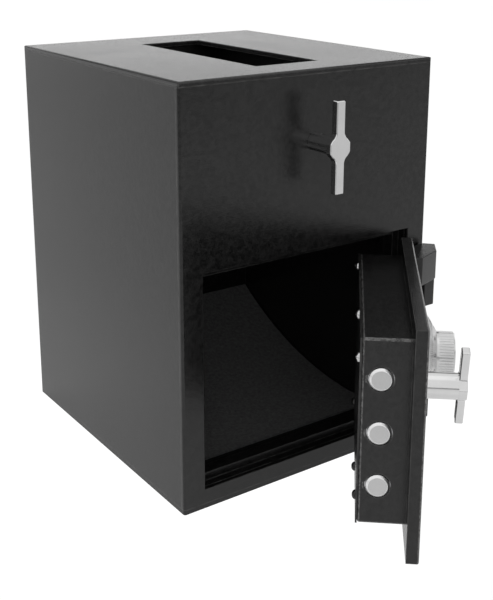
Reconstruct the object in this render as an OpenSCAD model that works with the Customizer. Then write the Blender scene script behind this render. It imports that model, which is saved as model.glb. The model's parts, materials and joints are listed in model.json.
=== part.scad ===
// Top-loading rotary drop safe: a welded steel cabinet with a turning deposit
// drum under the roof slot and a recessed plate door with bolts and a dial lock.
// Origin: middle of the cabinet's underside. X runs to the hinge side, -Y to the
// front, +Z up. The door stands ajar; its pieces are drawn shut and then swung.

/* [Cabinet] */
// Width over the side walls
body_w = 368; // [340:1:460]
// Depth from front face to rear face
body_d = 400; // [380:1:500]
// Height from the floor to the roof
body_h = 508; // [490:1:620]
// Thickness of every cabinet plate
wall = 6; // [4:0.5:8]
// Rounding of the outer edges
edge_r = 3; // [1:0.5:4]
// Diameter of the anchor holes in the floor
anchor_d = 14; // [10:1:18]
// Distance between the anchor holes, side to side
anchor_x = 240; // [200:1:260]
// Distance between the anchor holes, front to back
anchor_y = 280; // [265:1:300]

/* [Doorway] */
// Width of the doorway
doorway_w = 310; // [290:1:320]
// Height of the doorway
doorway_h = 266.5; // [262:0.5:285]
// Height of the sill under the doorway
sill_h = 24.5; // [16:0.5:30]
// Depth of the rebate that the door plate sits in
rebate = 17; // [16.8:0.1:24]
// How far the stop stands into the doorway
stop_lip = 10; // [6:0.5:11]
// Depth of the stop behind the rebate
stop_d = 17; // [12:0.5:17.5]

/* [Door] */
// Thickness of the door plate
door_t = 13.8; // [10:0.1:15]
// How far the door's face lies behind the cabinet's face
door_recess = 2.9; // [2:0.1:4.2]
// Gap round the sides and foot of the door plate
door_gap = 3; // [2:0.1:4]
// Gap over the door plate
door_head_gap = 5; // [3:0.1:7]
// Angle at which the door stands open
door_open = 49.3; // [0:0.1:110]

/* [Hinges] */
// Distance of the hinge axis from the cabinet's side
hinge_in = 10; // [9:0.5:14]
// Distance of the hinge axis from the cabinet's front face
hinge_out = 19; // [17:0.5:22]
// Height of each hinge
hinge_h = 76; // [60:1:78]
// Height of the lower hinge's foot
hinge_low_z = 33; // [30:1:40]
// Height of the upper hinge's foot
hinge_high_z = 192; // [180:1:200]
// Diameter of the hinge pins
hinge_pin_d = 9; // [6:0.5:10]
// Thickness of the thrust washer between the leaves
hinge_washer_t = 1.5; // [1:0.1:2.5]

/* [Bolt work] */
// Depth of the bolt box behind the door plate
box_d = 53; // [52:0.5:58]
// Height of the bolt box's foot
box_z = 60; // [56:0.5:64]
// Height of the bolt box
box_h = 208; // [202:1:214]
// Gap between the swinging bolt box and the doorway's stop
swing_gap = 1.4; // [1:0.1:3]
// Sheet thickness of the bolt box
box_t = 3; // [2:0.1:3.5]
// Diameter of the live bolts
bolt_d = 25.4; // [20:0.1:26]
// Length of the live bolts
bolt_len = 58; // [50:1:62]
// Spacing of the live bolts
bolt_pitch = 59.6; // [50:0.1:62]
// Distance of the bolts' axes behind the door plate
bolt_back = 30.8; // [30.5:0.1:33]
// How far the withdrawn bolts stand out of the box
bolt_proud = 2.5; // [1:0.1:3]
// Travel of the bolts
bolt_travel = 24; // [18:0.5:24]

/* [Handles] */
// Length of a T handle's bar
bar_len = 108; // [90:1:120]
// Width of the bar
bar_w = 12; // [10:0.5:16]
// Thickness of the bar
bar_t = 9.5; // [6:0.5:10]
// Diameter of the hub in the middle of the bar
hub_d = 29; // [26:0.5:34]
// Distance of the bar's face from the face it stands on
handle_out = 46.5; // [40:0.5:55]
// Reach of the door handle from the door's face
door_handle_out = 57; // [52:0.5:60]
// Diameter of the hopper handle's shank
hopper_shank_d = 22; // [20:0.5:26]
// Diameter of the door handle's shank
door_shank_d = 31; // [28:0.5:33]
// Height of the door handle and the dial
lock_z = 158; // [156:0.5:160]
// Lean of the door handle's bar, bolts withdrawn
handle_lean = 18; // [0:1:45]

/* [Dial lock] */
// Distance of the dial from the middle of the door
dial_x = 92; // [90:0.5:95]
// Diameter of the dial's fixed ring
ring_d = 98; // [94:0.5:100]
// Thickness of the fixed ring
ring_t = 15.5; // [8:0.5:16]
// Diameter of the graduated dial
dial_d = 92; // [84:0.5:92.5]
// Height of the dial's cone
cone_h = 11; // [9:0.5:15]
// Diameter of the dial's knob
knob_d = 54; // [44:0.5:56]
// Height of the knob
knob_h = 22; // [16:0.5:26]
// Number of flutes round the knob
flutes = 48; // [24:2:56]
// Diameter of the dial's spindle
spindle_d = 8; // [6:0.5:10]
// Diameter of the lock's wheels
wheel_d = 34; // [28:0.5:35]
// Travel of the lock's own bolt
lock_travel = 9.5; // [6:0.5:9.5]

/* [Hopper] */
// Distance of the drum's axis below the roof
drum_drop = 85; // [84:0.5:95]
// Outer diameter of the drum
drum_d = 148; // [140:1:152]
// Thickness of the drum's shell and ends
drum_t = 3; // [2:0.1:4]
// Width of the roof slot
slot_w = 90; // [70:1:100]
// Length of the roof slot
slot_l = 267; // [230:1:272]
// Distance of the slot behind the cabinet's front face
slot_margin = 54; // [48:0.5:60]
// Thickness of the chute's sheets
chute_t = 3; // [2:0.1:4]
// Diameter of the drum's spindle
drum_spindle_d = 16; // [12:0.5:18]

/* [Floor mat] */
// Thickness of the mat
mat_t = 3; // [2:0.1:4]
// Distance of the mat's front edge behind the cabinet's face
mat_front = 84; // [75:1:95]
// Height to which the mat climbs the rear wall
mat_rise = 95; // [70:1:110]

/* [Hidden] */
$fn = 64;

// Finishes
black = [0.16, 0.16, 0.16];
mat_grey = [0.22, 0.22, 0.23];
chrome = [0.85, 0.86, 0.88];
steel = [0.62, 0.63, 0.65];
brass = [0.78, 0.66, 0.38];

// Clearances and small common sizes
run_gap = 0.05;
seat_gap = 0.3;
screw_d = 5;
screw_head_h = 4;

// Cabinet planes
front_y = -body_d / 2;
rear_y = body_d / 2;
side_x = body_w / 2;
inner_x = side_x - wall;
roof_z = body_h - wall;
panel_h = roof_z - wall;

// Doorway planes
door_l = -doorway_w / 2;
door_r = doorway_w / 2;
head_z = sill_h + doorway_h;
stop_y = front_y + rebate;
stop_back_y = stop_y + stop_d;

// Door plate
plate_l = door_l + door_gap;
plate_r = door_r - door_gap;
plate_z = sill_h + door_gap;
plate_top = head_z - door_head_gap;
face_y = front_y + door_recess;
back_y = face_y + door_t;

// Hinge axis
hinge_x = side_x - hinge_in;
hinge_y = front_y - hinge_out;
leaf_h = (hinge_h - hinge_washer_t) / 2;
leaf_crown = 9.5;
knuckle_clear = 2.5;
knuckle_r = hinge_out - knuckle_clear;
leaf_crown_l = 15;
leaf_seat = 25;
leaf_seat_t = 12;
leaf_cap = 3;
leaf_clear = 1;
leaf_block_l = 18;
leaf_cut = 6;
washer_gap = 0.1;

// Bolt box; its free end stays inside the circle that clears the stop as it swings
box_back_y = back_y + box_d;
swing_r = norm([hinge_x - door_l - stop_lip - swing_gap, stop_y - hinge_y]);
box_l = hinge_x - sqrt(pow(swing_r, 2) - pow(box_back_y - hinge_y, 2));
box_inset = 8;
box_r = door_r - stop_lip - box_inset;
dead_bar_gap = 4;
dead_bar_t = 14;
dead_bar_inset = 6;
cover_t = 2;
cavity_y = box_back_y - cover_t;
screw_inset = 12;
screw_drop = 26;
cover_head_r = 5;
cover_head_h = 4;
bolt_hole_gap = 0.9;
cover_screw_at = [
    for (p = [
        [box_l + screw_inset, screw_drop],
        [box_l + 0.35 * (box_r - box_l), screw_inset],
        [box_r - screw_inset, screw_inset]
    ])
        for (z = [box_z + p[1], box_z + box_h - p[1]]) [p[0], z]
];

// Live bolts and their carriage
bolt_y = back_y + bolt_back;
bolt_tip = box_l - bolt_proud;
bolt_tail = bolt_tip + bolt_len;
bolt_mid_z = box_z + box_h / 2;
bolt_zs = [for (i = [-1 : 1]) bolt_mid_z + i * bolt_pitch];
bar_plate_t = 8;
bar_over = 20;
bar_gap = 3;
guide_t = 6;
arm_t = 5;
arm_drop = 15;
arm_rise = 27;
bolt_chamfer = 2.2;
bolt_thread_l = 12;

// Door handle and crank
crank_r = bolt_travel / (2 * sin(45));
crank_rim = 8;
crank_d = 2 * (crank_r + crank_rim);
crank_gap = 2;
crank_y = back_y + crank_gap;
crank_t = 8;
arm_gap = 1.5;
arm_y = crank_y + crank_t + arm_gap;
crank_pin_d = 8;
slot_play = 1;
door_spindle_d = 20;
door_bush_wall = 3;
door_bush_d = door_spindle_d + 2 * door_bush_wall;
socket_gap = 0.5;
door_socket_cap = 6;
door_spindle_nose = face_y - door_handle_out + bar_t + door_socket_cap;

// T handle's hub
hub_side = 0.36;
door_hub_d = door_shank_d + 1;
flare_r = 10;
flare_rise = 4;
flare_steps = 6;

// Hopper handle's socket and cross pin
hopper_socket_cap = 4;
spindle_nose = front_y - handle_out + bar_t + hopper_socket_cap;
hopper_pin_out = 12;
hopper_pin_y = front_y - hopper_pin_out;
handle_pin_r = 2;

// Dial lock
case_l = 56;
case_over = 34;
case_r = dial_x + case_over;
case_y = back_y + seat_gap;
case_d = 30;
case_h = 64;
case_t = 2.5;
case_cover_t = 2;
lock_head_d = 7;
lock_head_h = 2.5;
lock_screw_inset = 7;
latch_h = 14;
latch_d = 12;
latch_proud = 1.7;
latch_tip = case_l - latch_proud;
wheel_gap = 1;
latch_tail = dial_x - wheel_d / 2 - wheel_gap;
wheel_t = 2;
wheel_pitch = 4;
case_floor_t = 4;
wheel_y = case_y + case_floor_t + wheel_gap;
gate_w = 5;
latch_ahead = 3.7;
latch_front = arm_y - latch_ahead;
latch_gap = 0.3;
shaft_gap = 1.5;
ring_screw_r = 18;
ring_y = face_y - ring_t;
dial_gap = 0.5;
dial_y = ring_y - dial_gap;
dial_rim_t = 2.5;
cone_y = dial_y - dial_rim_t;
knob_y = cone_y - cone_h;
knob_cap = 6;
knob_chamfer = 2;
flute_r = 1.3;
flute_out = 0.6;
dial_nose = knob_y - knob_h + knob_cap;

// Hopper
drum_z = body_h - drum_drop;
slot_front = front_y + slot_margin;
slot_rear = slot_front + slot_l;
drum_r = drum_d / 2;
end_play = 1;
chute_gap = 3;
chute_x = drum_r + chute_gap;
chute_front_y = slot_front - drum_t - end_play - chute_t;
chute_rear_y = slot_rear + drum_t + end_play;
chute_foot = drum_z - drum_r + chute_gap;
bush_wall = 2.5;
journal_l = 22;
clip_y = drum_t + end_play + chute_t + bush_wall + 1;
clip_t = 1.2;
clip_bite = 1.5;
clip_rim = 3;

// Floor mat
mat_side_gap = 2;
mat_w = body_w - 2 * (wall + mat_side_gap);
mat_y = front_y + mat_front;
mat_flat = 36;
mat_bend_y = mat_y + mat_flat;
mat_run = rear_y - wall - seat_gap - mat_bend_y;
mat_lift = mat_rise - wall - mat_t;
mat_r = (mat_run * mat_run + mat_lift * mat_lift) / (2 * mat_lift);
mat_sweep = asin(mat_run / mat_r);
mat_steps = 16;

// ---------------------------------------------------------------- shapes

// Rectangle with rounded corners, from a low corner
module soft_rect(low, size, r) {
    translate([low[0] + r, low[1]]) square([size[0] - 2 * r, size[1]]);
    translate([low[0], low[1] + r]) square([size[0], size[1] - 2 * r]);
    for (x = [r, size[0] - r])
        for (y = [r, size[1] - r])
            translate([low[0] + x, low[1] + y]) circle(r = r);
}

// Cylinder along +Y from a point
module rod_y(at, r, l) {
    translate(at) rotate([-90, 0, 0]) cylinder(r = r, h = l);
}

// Cylinder along +X from a point
module rod_x(at, r, l) {
    translate(at) rotate([0, 90, 0]) cylinder(r = r, h = l);
}

// Cylinder along +Z from a point
module rod_z(at, r, l) {
    translate(at) cylinder(r = r, h = l);
}

// A drawing in X and Z, raised towards -Y from the plane y
module plate_xz(y, t) {
    translate([0, y + t, 0]) rotate([90, 0, 0]) linear_extrude(height = t) children();
}

// A drawing in Y and Z, raised towards +X from the plane x
module plate_yz(x, t) {
    translate([x, 0, 0]) rotate([90, 0, 90]) linear_extrude(height = t) children();
}

// Plan outline of the cabinet
module cabinet_plan() {
    soft_rect([-side_x, front_y], [body_w, body_d], edge_r);
}

// Swings a piece drawn shut to where the open door holds it
module hung() {
    translate([hinge_x, hinge_y, 0])
        rotate([0, 0, door_open])
            translate([-hinge_x, -hinge_y, 0])
                children();
}

// Round-headed screw, its head's underside at the origin and its shank along -Y
module dome_screw(head_r, head_h, shank_r, shank_l) {
    ball_r = (head_r * head_r + head_h * head_h) / (2 * head_h);
    rotate([-90, 0, 0]) intersection() {
        cylinder(r = head_r, h = head_h);
        translate([0, 0, head_h - ball_r]) sphere(r = ball_r);
    }
    rotate([90, 0, 0]) cylinder(r = shank_r, h = shank_l);
}

// ---------------------------------------------------------------- cabinet

module floor_panel() {
    color(black) difference() {
        linear_extrude(height = wall) cabinet_plan();
        for (x = [-anchor_x / 2, anchor_x / 2])
            for (y = [-anchor_y / 2, anchor_y / 2])
                translate([x, y, -1]) cylinder(d = anchor_d, h = wall + 2);
    }
}

module side_panel(x) {
    color(black) translate([x, front_y + wall, wall]) cube([wall, body_d - 2 * wall, panel_h]);
}

module left_side_panel() {
    side_panel(-side_x);
}

module right_side_panel() {
    side_panel(inner_x);
}

module rear_panel() {
    color(black) intersection() {
        translate([0, 0, wall]) linear_extrude(height = panel_h) cabinet_plan();
        translate([-side_x, rear_y - wall, 0]) cube([body_w, wall, body_h]);
    }
}

module front_panel() {
    color(black) difference() {
        intersection() {
            translate([0, 0, wall]) linear_extrude(height = panel_h) cabinet_plan();
            translate([-side_x, front_y, 0]) cube([body_w, wall, body_h]);
        }
        translate([door_l, front_y - 1, sill_h]) cube([doorway_w, wall + 2, doorway_h]);
        rod_y([0, front_y - 1, drum_z], drum_spindle_d / 2 + bush_wall, wall + 2);
    }
}

module roof_panel() {
    color(black) difference() {
        intersection() {
            translate([0, 0, roof_z]) linear_extrude(height = wall) cabinet_plan();
            plate_xz(front_y, body_d)
                soft_rect([-side_x, roof_z - wall], [body_w, 2 * wall], edge_r);
            plate_yz(-side_x, body_w)
                soft_rect([front_y, roof_z - wall], [body_d, 2 * wall], edge_r);
        }
        translate([-slot_w / 2, slot_front, roof_z - 1]) cube([slot_w, slot_l, wall + 2]);
    }
}

// Stop along one side of the doorway: its rebate wall and the lip behind it
module stile(mirrored) {
    mirror([mirrored ? 1 : 0, 0, 0])
        color(black)
            translate([0, 0, wall])
                linear_extrude(height = head_z + stop_lip - wall) {
                    translate([-inner_x, front_y + wall])
                        square([door_l + inner_x, rebate - wall]);
                    translate([-inner_x, stop_y])
                        square([door_l + inner_x + stop_lip, stop_d]);
                }
}

module left_door_stop() {
    stile(false);
}

module right_door_stop() {
    stile(true);
}

module door_sill_stop() {
    w = doorway_w;
    color(black) {
        translate([door_l, front_y + wall, wall]) cube([w, rebate - wall, sill_h - wall]);
        translate([door_l + stop_lip, stop_y, wall])
            cube([w - 2 * stop_lip, stop_d, sill_h + stop_lip - wall]);
    }
}

module door_header_stop() {
    w = doorway_w;
    color(black) {
        translate([door_l, front_y + wall, head_z]) cube([w, rebate - wall, stop_lip]);
        translate([door_l + stop_lip, stop_y, head_z - stop_lip])
            cube([w - 2 * stop_lip, stop_d, 2 * stop_lip]);
    }
}

// Mat: flat at the front, then one long arc up to the rear wall
module floor_mat() {
    low = wall + seat_gap;
    arc = [for (i = [0 : mat_steps]) i * mat_sweep / mat_steps];
    lower = [for (a = arc) [mat_bend_y + mat_r * sin(a), low + mat_r * (1 - cos(a))]];
    upper = [
        for (i = [mat_steps : -1 : 0])
            [mat_bend_y + (mat_r - mat_t) * sin(arc[i]), low + mat_r - (mat_r - mat_t) * cos(arc[i])]
    ];
    color(mat_grey) difference() {
        plate_yz(-mat_w / 2, mat_w)
            polygon(concat([[mat_y, low + mat_t], [mat_y, low]], lower, upper));
        translate([-mat_w, rear_y - wall - seat_gap, 0]) cube([2 * mat_w, wall, body_h]);
    }
}

// ---------------------------------------------------------------- hopper chute

module chute_end(y, bore_r) {
    color(black) difference() {
        translate([-chute_x - chute_t, y, chute_foot])
            cube([2 * (chute_x + chute_t), chute_t, roof_z - chute_foot]);
        rod_y([0, y - 1, drum_z], bore_r, chute_t + 2);
    }
}

module chute_front_plate() {
    chute_end(chute_front_y, drum_spindle_d / 2 + end_play);
}

module chute_rear_plate() {
    chute_end(chute_rear_y, drum_spindle_d / 2 + bush_wall);
}

module chute_guard(x) {
    color(black)
        translate([x, chute_front_y + chute_t, chute_foot])
            cube([chute_t, chute_rear_y - chute_front_y - chute_t, roof_z - chute_foot]);
}

module chute_left_guard() {
    chute_guard(-chute_x - chute_t);
}

module chute_right_guard() {
    chute_guard(chute_x);
}

// Flanged bush: sleeve through a plate and a flange on the plate's far side
module spindle_bush(y, plate, flange_y) {
    color(brass) difference() {
        union() {
            rod_y([0, y, drum_z], drum_spindle_d / 2 + bush_wall, plate);
            rod_y([0, flange_y, drum_z], drum_spindle_d / 2 + 2 * bush_wall, bush_wall);
        }
        rod_y([0, y - 1, drum_z], drum_spindle_d / 2 + run_gap, plate + bush_wall + 2);
    }
}

module front_spindle_bush() {
    spindle_bush(front_y, wall, front_y + wall);
}

module rear_spindle_bush() {
    spindle_bush(chute_rear_y, chute_t, chute_rear_y + chute_t);
}

// ---------------------------------------------------------------- hopper drum

module drum_shell() {
    inner_r = drum_r - drum_t;
    mouth = slot_w / 2;
    color(black)
        translate([0, slot_rear, drum_z]) rotate([90, 0, 0]) linear_extrude(height = slot_l)
            difference() {
                circle(r = drum_r);
                circle(r = inner_r);
                translate([-mouth, 0]) square([slot_w, drum_r + 1]);
            }
}

module drum_end(y) {
    color(black) difference() {
        rod_y([0, y, drum_z], drum_r, drum_t);
        rod_y([0, y - 1, drum_z], drum_spindle_d / 2, drum_t + 2);
    }
}

module drum_front_end() {
    drum_end(slot_front - drum_t);
}

module drum_rear_end() {
    drum_end(slot_rear);
}

// Spindle from the handle's socket through the fascia to the drum's front end
module hopper_spindle() {
    color(steel) difference() {
        rod_y([0, spindle_nose, drum_z], drum_spindle_d / 2, slot_front - spindle_nose);
        rod_z([0, hopper_pin_y, drum_z - hopper_shank_d], handle_pin_r, 2 * hopper_shank_d);
    }
}

module drum_rear_journal() {
    color(steel) difference() {
        rod_y([0, slot_rear, drum_z], drum_spindle_d / 2, journal_l);
        translate([0, slot_rear, drum_z]) journal_groove();
    }
}

module journal_groove() {
    rotate([-90, 0, 0]) translate([0, 0, clip_y]) difference() {
        cylinder(d = drum_spindle_d + 2, h = clip_t);
        translate([0, 0, -1]) cylinder(r = drum_spindle_d / 2 - clip_bite, h = clip_t + 2);
    }
}

// Open ring that snaps into the journal's groove
module journal_clip() {
    r = drum_spindle_d / 2;
    color(steel) translate([0, slot_rear, drum_z]) rotate([-90, 0, 0])
        translate([0, 0, clip_y]) linear_extrude(height = clip_t) difference() {
            circle(r = r + clip_rim);
            circle(r = r - clip_bite);
            translate([clip_rim / 2 - r, 0]) square([2 * r - clip_rim, r + clip_rim + 1]);
        }
}

// One quarter of the T handle's outline: hub, concave flare and bar
function flare_quarter(hub, sx, sz) = concat(
    [[sx * hub / 2, sz * hub * hub_side / 2]],
    [
        for (i = [flare_steps : -1 : 0])
            let (a = 60 * i / flare_steps)
                [sx * (bar_w / 2 + flare_r * (1 - cos(a))), sz * (hub / 2 + flare_rise - flare_r * sin(a))]
    ]
);

module t_outline(hub) {
    soft_rect([-bar_w / 2, -bar_len / 2], [bar_w, bar_len], 2);
    polygon(concat(
        flare_quarter(hub, 1, 1),
        [for (i = [flare_steps + 1 : -1 : 0]) flare_quarter(hub, -1, 1)[i]],
        flare_quarter(hub, -1, -1),
        [for (i = [flare_steps + 1 : -1 : 0]) flare_quarter(hub, 1, -1)[i]]
    ));
}

// T handle: shank from the face y, bar with its hub at the outer end
module t_handle(x, z, y, shank_d, hub, reach, lean) {
    translate([x, y, z]) rotate([90, 0, 0]) {
        cylinder(d = shank_d, h = reach - bar_t);
        translate([0, 0, reach - bar_t]) rotate([0, 0, lean])
            linear_extrude(height = bar_t) t_outline(hub);
    }
}

module hopper_handle() {
    color(chrome) difference() {
        t_handle(0, drum_z, front_y - seat_gap, hopper_shank_d, hub_d, handle_out, 0);
        rod_y([0, spindle_nose - socket_gap, drum_z], drum_spindle_d / 2, handle_out);
        rod_z([0, hopper_pin_y, drum_z - hopper_shank_d], handle_pin_r, 2 * hopper_shank_d);
    }
}

module hopper_handle_pin() {
    l = hopper_shank_d - 1;
    color(steel) rod_z([0, hopper_pin_y, drum_z - l / 2], handle_pin_r, l);
}

// ---------------------------------------------------------------- hinges

// Plan of a cabinet leaf: a block welded to the face, with its outer edges cut off
module cabinet_leaf_plan() {
    crown_y = hinge_y - leaf_crown;
    left = hinge_x - leaf_block_l;
    polygon([
        [left, front_y], [left, crown_y + 2 * leaf_cut], [left + leaf_cut, crown_y],
        [side_x - leaf_cut, crown_y], [side_x, crown_y + leaf_cut], [side_x, front_y]
    ]);
}

module cabinet_leaf(z) {
    color(black) difference() {
        translate([0, 0, z]) linear_extrude(height = leaf_h) cabinet_leaf_plan();
        translate([hinge_x, hinge_y, z + leaf_cap]) cylinder(d = hinge_pin_d, h = leaf_h);
    }
}

module lower_cabinet_hinge_leaf() {
    cabinet_leaf(hinge_low_z);
}

module upper_cabinet_hinge_leaf() {
    cabinet_leaf(hinge_high_z);
}

// Pins: set in the cabinet leaves, standing up into the door leaves
module hinge_pins() {
    color(steel)
        for (z = [hinge_low_z, hinge_high_z])
            translate([hinge_x, hinge_y, z + leaf_cap]) cylinder(d = hinge_pin_d, h = hinge_h - 3 * leaf_cap);
}

module hinge_washers() {
    color(brass)
        for (z = [hinge_low_z, hinge_high_z])
            translate([hinge_x, hinge_y, z + leaf_h]) difference() {
                cylinder(r = leaf_crown - 1, h = hinge_washer_t - washer_gap);
                translate([0, 0, -1]) cylinder(r = hinge_pin_d / 2 + run_gap, h = hinge_washer_t + 2);
            }
}

// Plan of a door leaf: faceted knuckle, crown over the axis and a ramp down to the door's face
module door_leaf_plan() {
    crown_y = hinge_y - leaf_crown;
    under_y = front_y - leaf_clear;
    ramp_x = plate_r - leaf_seat;
    knuckle = [for (a = [-35, 22, 70]) [hinge_x + knuckle_r * cos(a), hinge_y + knuckle_r * sin(a)]];
    polygon(concat(
        [[plate_r, under_y], [plate_r, face_y], [ramp_x, face_y], [ramp_x, face_y - leaf_seat_t],
            [hinge_x - leaf_crown_l, crown_y]],
        knuckle,
        [[hinge_x, under_y]]
    ));
}

module door_leaf(z) {
    bore_h = leaf_h - leaf_cap + hinge_washer_t;
    color(black) hung() difference() {
        translate([0, 0, z + leaf_h + hinge_washer_t]) linear_extrude(height = leaf_h) door_leaf_plan();
        translate([hinge_x, hinge_y, z + leaf_h]) cylinder(r = hinge_pin_d / 2 + run_gap, h = bore_h);
    }
}

module lower_door_hinge_leaf() {
    door_leaf(hinge_low_z);
}

module upper_door_hinge_leaf() {
    door_leaf(hinge_high_z);
}

// ---------------------------------------------------------------- door

module door_plate() {
    color(black) hung() difference() {
        translate([plate_l, face_y, plate_z])
            cube([plate_r - plate_l, door_t, plate_top - plate_z]);
        rod_y([0, face_y - 1, lock_z], door_bush_d / 2, door_t + 2);
        rod_y([dial_x, face_y - 1, lock_z], spindle_d / 2 + shaft_gap, door_t + 2);
    }
}

// Box behind the door plate: end walls, roof and floor, with bores for the bolts
module bolt_box() {
    w = box_r - box_l;
    color(black) hung() difference() {
        translate([box_l, back_y, box_z]) cube([w, box_d - cover_t, box_h]);
        translate([box_l + box_t, back_y - 1, box_z + box_t])
            cube([w - 2 * box_t, box_d + 2, box_h - 2 * box_t]);
        for (z = bolt_zs) rod_x([box_l - 1, bolt_y, z], bolt_d / 2 + bolt_hole_gap, box_t + 2);
    }
}

module bolt_box_cover() {
    color(black) hung() difference() {
        translate([box_l, cavity_y, box_z]) cube([box_r - box_l, cover_t, box_h]);
        for (p = cover_screw_at) rod_y([p[0], cavity_y - 1, p[1]], screw_d / 2, cover_t + 2);
    }
}

module cover_screws() {
    color(chrome) hung()
        for (p = cover_screw_at)
            translate([p[0], box_back_y, p[1]]) dome_screw(cover_head_r, cover_head_h, screw_d / 2, cover_t);
}

// Block inside the box that carries the live bolts
module bolt_guide() {
    color(steel) hung() difference() {
        translate([box_l + box_t, back_y, box_z + box_t])
            cube([guide_t, box_d - cover_t, box_h - 2 * box_t]);
        for (z = bolt_zs) rod_x([box_l, bolt_y, z], bolt_d / 2 + run_gap, guide_t + box_t + 2);
    }
}

// Fixed bar that hooks behind the hinge-side stop when the door is shut
module dead_bar() {
    color(black) hung()
        translate([box_r, stop_back_y + dead_bar_gap, box_z + dead_bar_inset])
            cube([plate_r - box_r, dead_bar_t, box_h - 2 * dead_bar_inset]);
}

module handle_bush() {
    color(brass) hung() difference() {
        rod_y([0, face_y, lock_z], door_bush_d / 2, door_t);
        rod_y([0, face_y - 1, lock_z], door_spindle_d / 2 + run_gap, door_t + 2);
    }
}

module ring_screw_places() {
    for (a = [0, 180])
        translate([dial_x + ring_screw_r * cos(a), face_y, lock_z + ring_screw_r * sin(a)]) children();
}

module dial_ring() {
    color(chrome) hung() difference() {
        rod_y([dial_x, ring_y, lock_z], ring_d / 2, ring_t);
        rod_y([dial_x, ring_y - 1, lock_z], spindle_d / 2 + shaft_gap, ring_t + 2);
        ring_screw_places() rod_y([0, -ring_t - 1, 0], screw_d / 2, ring_t + 2);
    }
}

module dial_ring_screws() {
    color(steel) hung()
        ring_screw_places() rod_y([0, socket_gap - ring_t, 0], screw_d / 2, ring_t - socket_gap);
}

// ---------------------------------------------------------------- dial lock

module lock_case() {
    w = case_r - case_l;
    z = lock_z - case_h / 2;
    color(brass) hung() difference() {
        translate([case_l, case_y, z]) cube([w, case_d, case_h]);
        translate([case_l + case_t, case_y + case_floor_t, z + case_t])
            cube([w - 2 * case_t, case_d, case_h - 2 * case_t]);
        rod_y([dial_x, case_y - 1, lock_z], spindle_d / 2 + run_gap, case_floor_t + 2);
        translate([case_l - 1, latch_front - latch_gap, lock_z - latch_h / 2 - latch_gap])
            cube([case_t + 2, latch_d + 2 * latch_gap, latch_h + 2 * latch_gap]);
    }
}

module lock_case_cover() {
    y = case_y + case_d;
    color(brass) hung()
        translate([case_l, y, lock_z - case_h / 2])
            cube([case_r - case_l, case_cover_t, case_h]);
}

module lock_screws() {
    y = case_y + case_d + case_cover_t;
    color(steel) hung()
        for (x = [case_l + lock_screw_inset, case_r - lock_screw_inset])
            for (z = [lock_screw_inset - case_h / 2, case_h / 2 - lock_screw_inset])
                rod_y([x, y, lock_z + z], lock_head_d / 2, lock_head_h);
}

module lock_bolt() {
    color(brass) hung()
        translate([latch_tip, latch_front, lock_z - latch_h / 2])
            cube([latch_tail - latch_tip, latch_d, latch_h]);
}

// ---------------------------------------------------------------- dial

module combination_dial() {
    color(chrome) hung() difference() {
        translate([dial_x, dial_y, lock_z]) rotate([90, 0, 0]) {
            cylinder(d = dial_d, h = dial_rim_t);
            translate([0, 0, dial_rim_t]) cylinder(d1 = dial_d, d2 = knob_d + 2, h = cone_h);
        }
        rod_y([dial_x, knob_y - 1, lock_z], spindle_d / 2, cone_h + dial_rim_t + 3);
    }
}

module dial_knob() {
    body_h = knob_h - knob_chamfer;
    color(chrome) hung() difference() {
        translate([dial_x, knob_y, lock_z]) rotate([90, 0, 0]) {
            cylinder(d = knob_d, h = body_h);
            translate([0, 0, body_h])
                cylinder(d1 = knob_d, d2 = knob_d - 2 * knob_chamfer, h = knob_chamfer);
        }
        rod_y([dial_x, dial_nose, lock_z], spindle_d / 2, knob_h);
        for (i = [0 : flutes - 1])
            translate([dial_x, knob_y, lock_z]) rotate([0, i * 360 / flutes, 0])
                rod_y([knob_d / 2 + flute_out, -knob_h - 1, 0], flute_r, body_h);
    }
}

module dial_spindle() {
    tail = wheel_y + 4 * wheel_pitch;
    color(steel) hung() rod_y([dial_x, dial_nose, lock_z], spindle_d / 2, tail - dial_nose);
}

// Notched disc on the dial's spindle, the i-th of the pack
module lock_disc(i, bore_r) {
    y = wheel_y + i * wheel_pitch;
    difference() {
        rod_y([dial_x, y, lock_z], wheel_d / 2, wheel_t);
        rod_y([dial_x, y - 1, lock_z], bore_r, wheel_t + 2);
        translate([dial_x - gate_w / 2, y - 1, lock_z + wheel_d / 2 - gate_w])
            cube([gate_w, wheel_t + 2, gate_w + 1]);
    }
}

// Cam fixed to the dial's spindle
module drive_cam() {
    color(brass) hung() lock_disc(0, spindle_d / 2);
}

// Three gated wheels that turn freely on the spindle
module combination_wheels() {
    color(brass) hung() for (i = [1 : 3]) lock_disc(i, spindle_d / 2 + run_gap);
}

// ---------------------------------------------------------------- door handle

module door_handle() {
    color(chrome) hung() difference() {
        t_handle(0, lock_z, face_y - seat_gap, door_shank_d, door_hub_d, door_handle_out, handle_lean);
        rod_y([0, door_spindle_nose - socket_gap, lock_z], door_spindle_d / 2, door_handle_out);
    }
}

module door_handle_spindle() {
    color(steel) hung()
        rod_y([0, door_spindle_nose, lock_z], door_spindle_d / 2, crank_y + crank_t - door_spindle_nose);
}

module handle_crank() {
    color(steel) hung() difference() {
        rod_y([0, crank_y, lock_z], crank_d / 2, crank_t);
        rod_y([0, crank_y - 1, lock_z], door_spindle_d / 2, crank_t + 2);
        crank_pin_place() rod_y([0, -1, 0], crank_pin_d / 2, crank_t + 2);
    }
}

// Bolts withdrawn: the crank pin stands 45 degrees towards the hinge side
module crank_pin_place() {
    translate([crank_r * sin(45), crank_y, lock_z + crank_r * cos(45)]) children();
}

module crank_pin() {
    l = arm_y + arm_t + 2 - crank_y;
    color(steel) hung() crank_pin_place() rod_y([0, 0, 0], crank_pin_d / 2, l);
}

// ---------------------------------------------------------------- bolt carriage

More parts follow.
